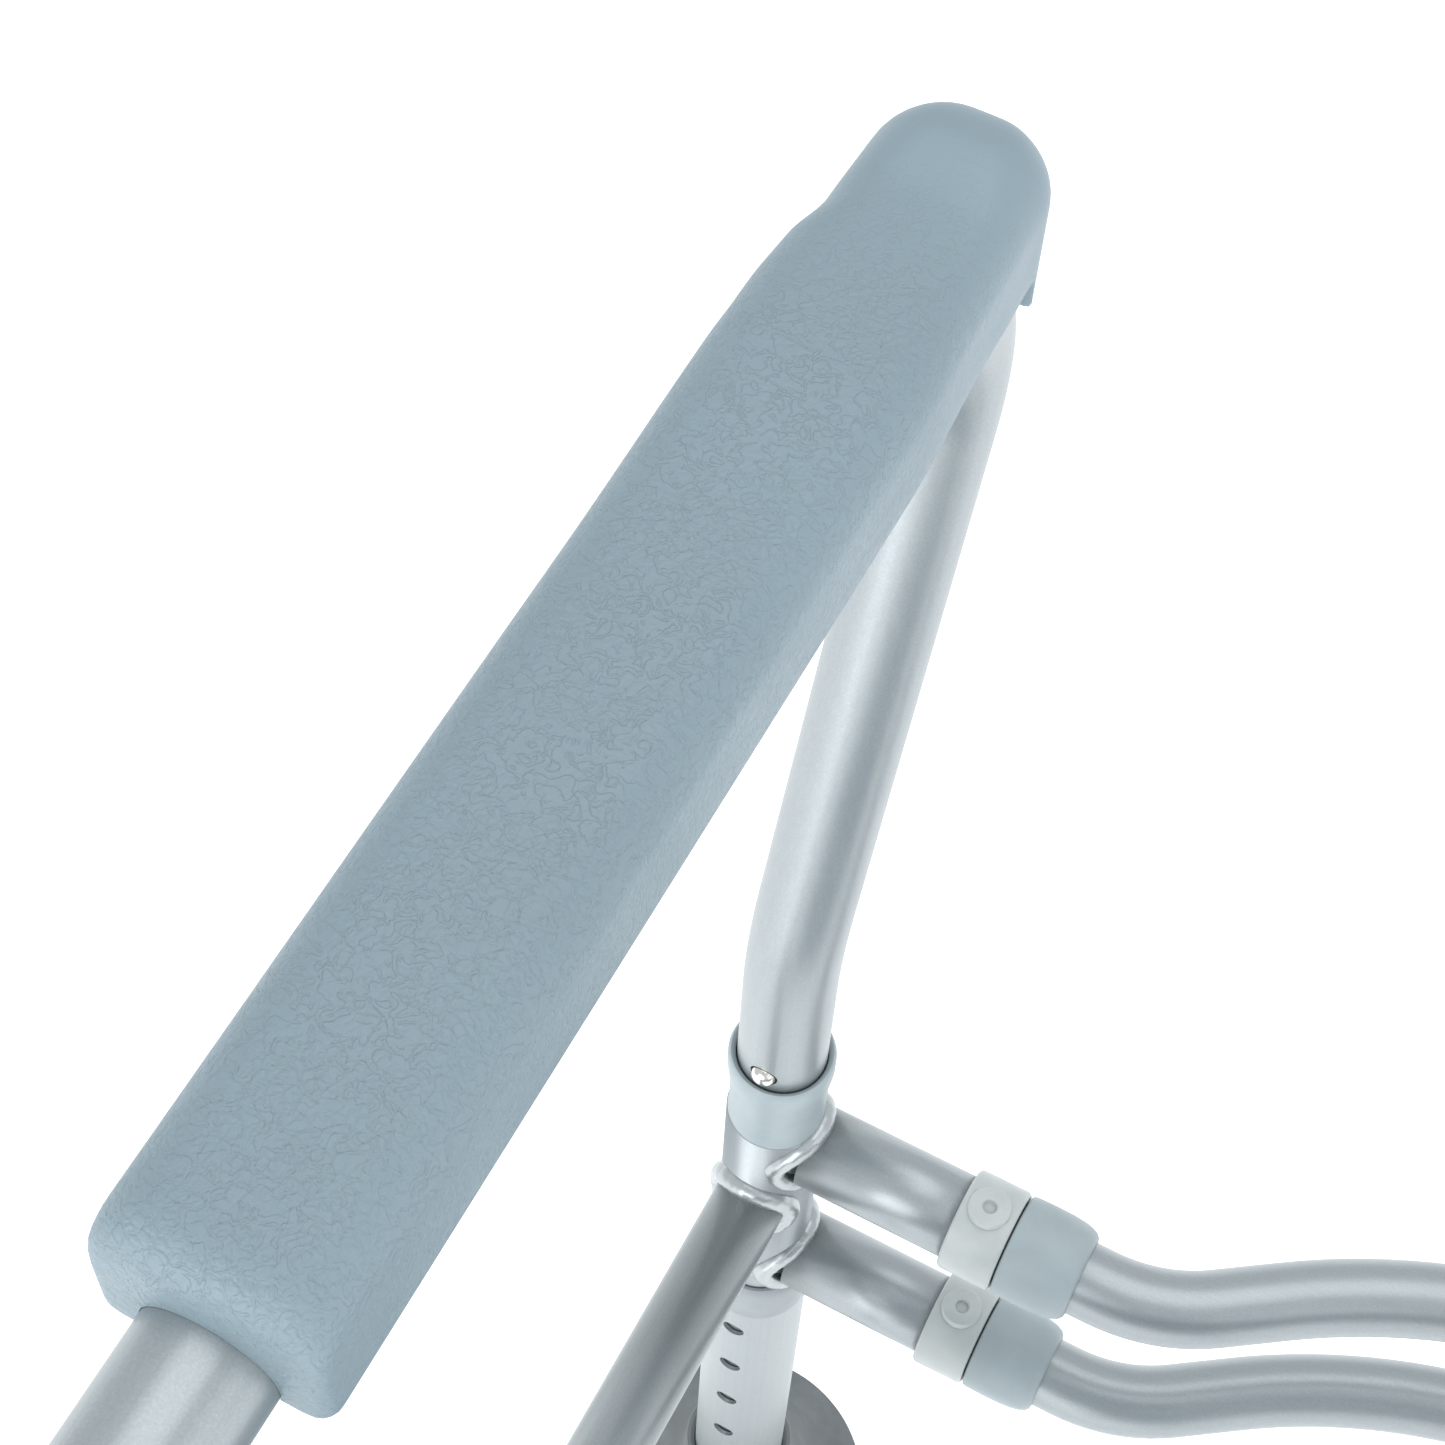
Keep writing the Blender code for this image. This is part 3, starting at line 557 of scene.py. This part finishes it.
def make_sleeves():
    """The blue-grey collar on each crossbar and the milky locking ring on each stub."""
    z, y = RAIL_Z, -HALF_DEPTH
    bore = SMALL_TUBE_R + 0.0002
    collar = turned(
        "collar",
        (
            (bore, 0.0),
            (0.0124, 0.0),
            (0.0129, 0.0004),
            (0.0131, 0.0012),
            (0.0132, 0.0060),
            (0.0131, 0.0110),
            (0.0128, 0.0143),
            (0.0123, 0.0165),
            (0.0116, 0.0180),
            (0.0107, 0.0188),
            (bore, 0.0190),
            (bore, 0.0),
        ),
        (HALF_WIDTH - COLLAR_START, y, z),
        (-1, 0, 0),
        64,
    )
    paint(collar, BLUE)
    bore = TUBE_R + 0.0002
    ring = turned(
        "ring",
        (
            (bore, 0.0),
            (0.0126, 0.0),
            (0.0132, 0.0005),
            (0.0133, 0.0010),
            (0.0133, 0.0130),
            (0.0131, 0.0136),
            (0.0126, 0.0140),
            (bore, 0.0140),
            (bore, 0.0),
        ),
        (HALF_WIDTH - RING_START, y, z),
        (-1, 0, 0),
        64,
    )
    boss = turned(
        "boss",
        (
            (0.0055, -0.0030),
            (0.0055, 0.0006),
            (0.0052, 0.0011),
            (0.0046, 0.0013),
            (0.0022, 0.0013),
            (0.0018, 0.0010),
            (0.0016, 0.0002),
            (0.0008, 0.0000),
        ),
        (HALF_WIDTH - BOSS_AT, y, z + 0.0131),
        (0, 0, 1),
        32,
    )
    into_edit()
    ops.mesh.fill_holes(sides=0)
    settle(boss)
    ring = join("ring", [ring, boss])
    paint(ring, MILKY)
    for end, y_sign in ENDS:
        for flank, x_sign in FLANKS:
            for level, drop in LEVELS:
                word = f"{end}_{level}_{flank}"
                for piece, kind, slot in (
                    (collar, "crossbar_collar", "blue_grey_plastic"),
                    (ring, "locking_ring", "milky_plastic"),
                ):
                    made = twin(piece, f"{kind}_{word}_finish", x_sign, -y_sign, drop)
                    mount(made, "frame", slot, f"{kind}_{word}")
    bpy.data.objects.remove(collar)
    bpy.data.objects.remove(ring)


# ---------------------------------------------------------------- legs


def make_legs():
    """Leg tubes with their height holes, the bushes on top, the feet and the spring buttons."""
    x, y = HALF_WIDTH, -HALF_DEPTH
    tube = start_ring("leg_tube_front_left_finish", (x, y, LEG_LOW), (0, 0, 1), LEG_R, 64)
    pull(z=LEG_TOP - LEG_LOW)
    give_wall(settle(tube))
    drills = []
    for i in range(5):
        drill = turned(
            "drill",
            ((0.0033, 0.0), (0.0033, 0.008), (0.0032, 0.010)),
            (x, y + 0.0095, LOWEST_HOLE + i * HOLE_PITCH),
            (0, 1, 0),
            32,
        )
        into_edit()
        ops.mesh.fill_holes(sides=0)
        drills.append(settle(drill))
    cut(tube, join("drills", drills))
    paint(tube, UPRIGHT)
    for_corners(tube, "leg_tube", "leg_{}", "satin_aluminium")

    bore = POST_R + 0.0003
    collar = turned(
        "leg_collar_front_left_finish",
        (
            (bore, 0.0),
            (0.0142, 0.0),
            (0.0145, 0.0008),
            (0.0145, 0.0160),
            (0.0142, 0.0178),
            (0.0136, 0.0188),
            (bore, 0.0189),
            (bore, 0.0),
        ),
        (x, y, LEG_TOP + 0.0002),
        sides=64,
    )
    paint(collar, PALE)
    for_corners(collar, "leg_collar", "leg_{}", "blue_grey_plastic")

    flare = []
    for i in range(1, 15):
        a = pi / 2 * i / 14
        flare.append((0.0172 + 0.0258 * (1 - sin(a)), 0.007 + 0.037 * (1 - cos(a))))
    foot = turned(
        "foot_front_left_finish",
        (
            (0.0143, 0.0080),
            (0.0040, 0.0080),
            (0.0040, 0.0004),
            (0.0300, 0.0004),
            (0.0310, 0.0),
            (0.0405, 0.0),
            (0.0424, 0.0006),
            (0.0430, 0.0020),
            (0.0430, 0.0050),
            (0.0426, 0.0064),
            *flare,
            (0.0172, 0.0468),
            (0.0166, 0.0478),
            (0.0155, 0.0480),
            (0.0143, 0.0474),
            (0.0143, 0.0080),
        ),
        (x, y, 0),
        sides=96,
    )
    paint(foot, RUBBER)
    for_corners(foot, "foot", "leg_{}", "grey_rubber")

    make_button("leg_button", LOWEST_HOLE, 0.0066, 0.0158, 0.0029, "leg_button_{}")


def make_button(kind, z, base, tip, radius, body):
    """A domed spring button that points to the middle of its side."""
    length = tip - base
    turns = (0.0, 0.35, 0.7, 1.0, 1.3, 1.5)
    dome = [(radius * cos(a), length - radius * 0.75 * (1 - sin(a))) for a in turns]
    root = (HALF_WIDTH, -HALF_DEPTH + base, z)
    button = turned(f"{kind}_front_left_finish", ((radius, 0.0), *dome), root, (0, 1, 0), 32)
    into_edit()
    ops.mesh.fill_holes(sides=0)
    settle(button, 50)
    paint(button, STEEL)
    for_corners(button, kind, body, "bright_steel")


# ---------------------------------------------------------------- armrests


def start_arm(name, radius, sides=SIDES, bottom=ARM_FOOT_Z):
    """The tube's skin from the front post over the top and down to the rear post."""
    x, front, rear = HALF_WIDTH, -HALF_DEPTH, HALF_DEPTH
    reach = ARM_KINK_R * tan(ARM_LEAN / 2)
    kink_low = ARM_KINK_Z - reach
    kink_high_z = kink_low + ARM_KINK_R * sin(ARM_LEAN)
    top_centre = ARM_Z - ARM_BEND_R
    bend_z = top_centre - ARM_BEND_R * sin(ARM_LEAN)
    slope = (bend_z - kink_high_z) / cos(ARM_LEAN)
    bend_y = front - (bend_z - ARM_KINK_Z) * tan(ARM_LEAN)
    centre_y = bend_y + ARM_BEND_R * cos(ARM_LEAN)
    tube = start_ring(name, (x, front, bottom), (0, 0, 1), radius, sides)
    pull(z=kink_low - bottom)
    bend((x, front - ARM_KINK_R, kink_low), (1, 0, 0), ARM_LEAN, 8)
    pull(y=-slope * sin(ARM_LEAN), z=slope * cos(ARM_LEAN))
    bend((x, centre_y, top_centre), (1, 0, 0), -(ARM_LEAN + pi / 2), 28)
    pull(y=rear - ARM_BEND_R - centre_y)
    bend((x, rear - ARM_BEND_R, top_centre), (1, 0, 0), -pi / 2, 24)
    pull(z=bottom - top_centre)
    return tube


def pad_section(half, top, bottom, edge):
    """The pad's section as (across, up) points: a crowned top, round shoulders and straight sides."""
    lip = 0.0014
    edge = min(edge, half * 0.98)
    right = [(half - lip, bottom), (half - lip * 0.3, bottom + lip * 0.3), (half, bottom + lip)]
    for i in range(1, 4):
        right.append((half, bottom + lip + (top - edge - bottom - lip) * i / 4))
    steps = 10
    for i in range(steps + 1):
        a = pi / 2 * i / steps
        right.append((half - edge + edge * cos(a), top - edge + edge * sin(a)))
    flat = half - edge
    for i in range(1, 4):
        u = flat * (1 - i / 4)
        right.append((u, top))
    crowned = []
    for u, v in right:
        lift = 0.0007 * (1 - (u / half) ** 2) if v > top - edge * 0.9 else 0.0
        crowned.append((u, v + lift * max(0.0, (v - (top - edge)) / edge)))
    middle = [(0.0, top + 0.0007)]
    left = [(-u, v) for u, v in reversed(crowned)]
    under = [(-(half - lip) * 0.5, bottom), (0.0, bottom), ((half - lip) * 0.5, bottom)]
    return crowned + middle + left + under


def smooth_between(rows, at):
    """Rows of (place, values...) read at a place, with an eased run between neighbours."""
    for low, high in zip(rows, rows[1:]):
        if low[0] <= at <= high[0]:
            t = (at - low[0]) / (high[0] - low[0])
            t = t * t * (3 - 2 * t)
            return [a + (b - a) * t for a, b in zip(low[1:], high[1:])]
    return list(rows[-1][1:])


def make_arm_pad():
    """The foam pad: boxy rear, swollen outer shoulder, a waist, then a round nose over the bend."""
    rear, nose, nose_r, nose_round = 0.0245, 0.2032, 0.0165, 0.0160
    plain, deep, skirt_start, skirt_end = -0.0036, -0.0140, 0.2052, 0.2075
    round_end, round_side = 0.0078, 0.0030
    shape = (
        (-rear, 0.0187, 0.0232, 0.0089),
        (0.150, 0.0187, 0.0232, 0.0089),
        (0.190, 0.0169, 0.0220, 0.0092),
        (nose, nose_r, 0.0243, 0.0118),
    )
    shoulder = (
        (-rear, 0),
        (0.100, 0.0003),
        (0.156, 0.0010),
        (0.170, 0.0017),
        (0.177, 0.0017),
        (0.187, 0),
        (0.3, 0),
    )
    rings = []

    def ring(forward, half, top, edge, bottom=plain):
        section = pad_section(half, top, bottom, edge)
        outer = 1 + smooth_between(shoulder, forward)[0] / half
        swollen = [(u * outer if u > 0 else u, v) for u, v in section]
        rings.append([(HALF_WIDTH + u, -forward, ARM_Z + v) for u, v in swollen])

    for i in range(9):
        away = round_end * (1 - cos(pi / 2 * i / 8))
        half, top, edge = smooth_between(shape, -rear)
        down = round_end - sqrt(max(0.0, round_end**2 - (round_end - away) ** 2))
        side = max(0.0, round_side - away)
        inward = round_side - sqrt(max(0.0, round_side**2 - side**2))
        ring(-rear + away, half - inward, top - down, edge, plain + inward * 0.3)
    stops = [-rear + round_end + 0.005 * i for i in range(1, 33)]
    stops += [0.146 + 0.002 * i for i in range(1, 29)]
    for stop in stops:
        if stop < nose - 0.0005:
            ring(stop, *smooth_between(shape, stop))
    half, top, edge = smooth_between(shape, nose)
    steps = 20
    for i in range(steps):
        a = pi / 2 * i / steps
        forward = nose + nose_r * sin(a)
        sink = min(1.0, max(0.0, (forward - skirt_start) / (skirt_end - skirt_start)))
        bottom = plain + (deep - plain) * sink
        ring(forward, half * cos(a), top - nose_round * (1 - cos(a)), edge * cos(a) + 0.0002, bottom)
    pad = loft("arm_pad_left_finish", rings)
    core = start_arm("pad_core", TUBE_R + 0.0001, 64)
    ops.mesh.edge_face_add()
    ops.mesh.select_all(action="SELECT")
    ops.mesh.fill_holes(sides=0)
    settle(core)
    cut(pad, core)
    paint(pad, SKIN)
    other = twin(pad, "arm_pad_right_finish", -1)
    for piece, flank in ((pad, "left"), (other, "right")):
        mount(piece, f"arm_{flank}", "blue_grey_foam", f"arm_pad_{flank}")


def make_arms():
    """Bent armrest tubes, the collars that guide them and their spring buttons."""
    tube = give_wall(settle(start_arm("arm_tube_left_finish", TUBE_R)))
    drills = []
    for end, y_sign in ENDS:
        drill = turned(
            "drill",
            ((0.0036, 0.0), (0.0036, 0.008), (0.0035, 0.010)),
            (HALF_WIDTH, y_sign * (HALF_DEPTH - 0.006), ARM_BUTTON_Z),
            (0, -y_sign, 0),
            32,
        )
        into_edit()
        ops.mesh.fill_holes(sides=0)
        drills.append(settle(drill))
    cut(tube, join("drills", drills))
    paint(tube, UPRIGHT)
    tube.data.materials.append(ALONG)
    for face in tube.data.polygons:
        if face.center.z > ARM_Z - 0.02 and abs(face.center.y) < 0.16:
            face.material_index = 1
    other = twin(tube, "arm_tube_right_finish", -1)
    mount(tube, "arm_left", "satin_aluminium", "arm_tube_left")
    mount(other, "arm_right", "satin_aluminium", "arm_tube_right")

    bore, low = TUBE_R + 0.0003, 0.2973
    rim = 0.328 - low
    collar = turned(
        "arm_socket_collar_front_left_finish",
        (
            (bore, 0.0),
            (0.0123, 0.0),
            (0.0121, 0.0040),
            (0.0121, 0.0110),
            (0.0124, 0.0170),
            (0.0129, rim - 0.0085),
            (0.0132, rim - 0.0060),
            (0.0132, rim - 0.0016),
            (0.0129, rim - 0.0004),
            (0.0125, rim),
            (0.0119, rim - 0.0002),
            (bore, rim - 0.0010),
            (bore, 0.0),
        ),
        (HALF_WIDTH, -HALF_DEPTH, low),
        sides=64,
    )
    paint(collar, BLUE)
    for_corners(collar, "arm_socket_collar", "frame", "blue_grey_plastic")
    make_button("arm_button", ARM_BUTTON_Z, 0.0072, 0.0130, 0.0031, "arm_button_{}")


# ---------------------------------------------------------------- seat


def seat_outline(inset, count=144):
    """The seat's rounded-oval edge, drawn in by an inset."""
    points = []
    for i in range(count):
        a = 2 * pi * (i + 0.5) / count
        c, s = cos(a), sin(a)
        x = (SEAT_HALF_WIDTH - inset) * abs(c) ** (2 / SEAT_POWER) * (1 if c > 0 else -1)
        y = (SEAT_HALF_DEPTH - inset) * abs(s) ** (2 / SEAT_POWER) * (1 if s > 0 else -1)
        points.append((x, y))
    return points


def seat_slab(name, layers):
    """A slab through (inset, height) layers; any dish in its top comes from the layers it is given.
    """
    rings = []
    for inset, z in layers:
        rings.append([(x, y, z) for x, y in seat_outline(inset)])
    return loft(name, rings)


def make_seat():
    """Cushion, clipped board, the two tubes under it and the saddles that hold them."""
    edge = 0.0105
    layers = [(0.0030, CUSHION_Z), (0.0008, CUSHION_Z + 0.0010), (0.0, CUSHION_Z + 0.0035)]
    layers += [(0.0, CUSHION_Z + 0.008), (0.0, CUSHION_TOP - 0.001 - edge)]
    for i in range(1, 9):
        a = pi / 2 * i / 8
        layers.append((edge * (1 - cos(a)), CUSHION_TOP - 0.001 - edge + edge * sin(a)))
    for inset in (0.016, 0.024, 0.034, 0.046, 0.060, 0.075, 0.090, 0.105, 0.118, 0.127):
        t = min(1.0, (inset - edge) / 0.08)
        dish = 0.001 * sin(min(1.0, t * 2.2) * pi) - 0.0042 * (t * t * (3 - 2 * t))
        layers.append((inset, CUSHION_TOP - 0.001 + dish))
    cushion = seat_slab("seat_cushion_finish", layers)
    paint(cushion, SKIN)
    mount(cushion, "frame", "blue_grey_foam", "seat_cushion")

    board = seat_slab(
        "seat_board_finish",
        (
            (0.0075, BOARD_Z),
            (0.0055, BOARD_Z + 0.0006),
            (0.0042, BOARD_Z + 0.0022),
            (0.0040, BOARD_Z + 0.0080),
            (0.0046, BOARD_Z + 0.0094),
            (0.0060, BOARD_Z + 0.0099),
        ),
    )
    clips = [board]
    for x in (-0.110, 0.110):
        for y in (-SEAT_TUBE_Y, SEAT_TUBE_Y):
            low = (x - 0.015, y - 0.014, BOARD_Z - 0.013)
            high = (x + 0.015, y + 0.014, BOARD_Z + 0.004)
            block = rounded_block("clip", low, high, 0.0022)
            channel = turned(
                "channel",
                ((0.0097, 0.0), (0.0097, 0.025), (0.0097, 0.05)),
                (x - 0.025, y, SEAT_TUBE_Z),
                (1, 0, 0),
            )
            into_edit()
            ops.mesh.fill_holes(sides=0)
            settle(channel)
            clips.append(cut(block, channel))
    board = join("seat_board_finish", clips)
    paint(board, BOARD)
    mount(board, "frame", "grey_board", "seat_board")

    for end, y_sign in ENDS:
        start = (-SEAT_TUBE_LENGTH / 2, y_sign * SEAT_TUBE_Y, SEAT_TUBE_Z)
        tube = start_ring(f"seat_tube_{end}_finish", start, (1, 0, 0), SMALL_TUBE_R)
        pull(x=SEAT_TUBE_LENGTH)
        paint(give_wall(settle(tube)), ACROSS)
        mount(tube, "frame", "satin_aluminium", f"seat_tube_{end}")

    low = (0.2155, -SEAT_TUBE_Y - 0.0145, 0.2560)
    high = (0.2435, -SEAT_TUBE_Y + 0.0145, 0.2925)
    block = rounded_block("block", low, high, 0.0045, 5)
    lip = turned(
        "lip",
        (
            (0.0097, 0.0),
            (0.0122, 0.0),
            (0.0125, 0.0004),
            (0.0125, 0.0040),
            (0.0097, 0.0040),
            (0.0097, 0.0),
        ),
        (0.2142, -SEAT_TUBE_Y, SEAT_TUBE_Z),
        (1, 0, 0),
    )
    dimple = turned(
        "dimple",
        ((0.0034, -0.004), (0.0034, 0.002), (0.0036, 0.004)),
        (0.2440, -SEAT_TUBE_Y, SEAT_TUBE_Z),
        (1, 0, 0),
        32,
    )
    into_edit()
    ops.mesh.fill_holes(sides=0)
    settle(dimple)
    cut(block, dimple)
    saddle = join("seat_saddle_front_left_finish", [block, lip])
    paint(saddle, BLUE)
    for_corners(saddle, "seat_saddle", "frame", "blue_grey_plastic")


# ---------------------------------------------------------------- setting


def make_setting():
    """A pale floor below the longest reach of the legs, a soft dome and three lamps."""
    ops.object.select_all(action="DESELECT")
    ops.mesh.primitive_plane_add(size=60, location=(0, 0, -LEG_TRAVEL - 0.0005))
    floor = bpy.context.object
    floor.name = "floor"
    made = Finish("pale_floor", (0.93, 0.93, 0.93), 0.7)
    made.shader.inputs["Emission Color"].default_value = (1, 1, 1, 1)
    made.shader.inputs["Emission Strength"].default_value = 0.45
    paint(floor, made.material)

    world = bpy.data.worlds.new("studio")
    bpy.context.scene.world = world
    world.use_nodes = True
    back = world.node_tree.nodes["Background"]
    back.inputs["Color"].default_value = (0.90, 0.94, 0.97, 1)
    back.inputs["Strength"].default_value = 0.84

    for name, place, aim, size, power in (
        ("rear_key", (0.45, 1.6, 0.72), (0.2, 0, 0.45), 1.6, 17),
        ("inner_fill", (-1.5, 0.2, 0.9), (0.1, -0.1, 0.3), 2.0, 7),
        ("top", (0.1, -0.5, 2.2), (0.1, -0.1, 0.3), 1.8, 9),
    ):
        light = bpy.data.lights.new(name, "AREA")
        light.shape, light.size, light.energy = "DISK", size, power
        lamp = bpy.data.objects.new(name, light)
        lamp.location = place
        lamp.rotation_euler = (Vector(aim) - Vector(place)).to_track_quat("-Z", "Y").to_euler()
        bpy.context.scene.collection.objects.link(lamp)
    bpy.context.scene.view_settings.view_transform = "Standard"


def make_camera():
    """Over the rear left of the stool, looking down along the armrest to the front left corner."""
    heading, down, roll = radians(24.98), radians(57.03), radians(3.49)
    forward = Vector((sin(heading) * cos(down), -cos(heading) * cos(down), -sin(down)))
    level = Vector((-cos(heading), -sin(heading), 0))
    rise = level.cross(forward)
    right = level * cos(roll) + rise * sin(roll)
    up = rise * cos(roll) - level * sin(roll)
    data = bpy.data.cameras.new("camera")
    data.lens, data.sensor_width = 70.87, 36
    data.clip_start, data.clip_end = 0.02, 30
    camera = bpy.data.objects.new("camera", data)
    turn = Matrix((right, up, -forward)).transposed()
    camera.matrix_world = Matrix.Translation((0.11747, 0.11725, 0.94555)) @ turn.to_4x4()
    bpy.context.scene.collection.objects.link(camera)
    bpy.context.scene.camera = camera


make_camera()
make_side_frame()
make_crossbars()
make_sleeves()
make_legs()
make_arms()
make_arm_pad()
make_seat()
make_setting()
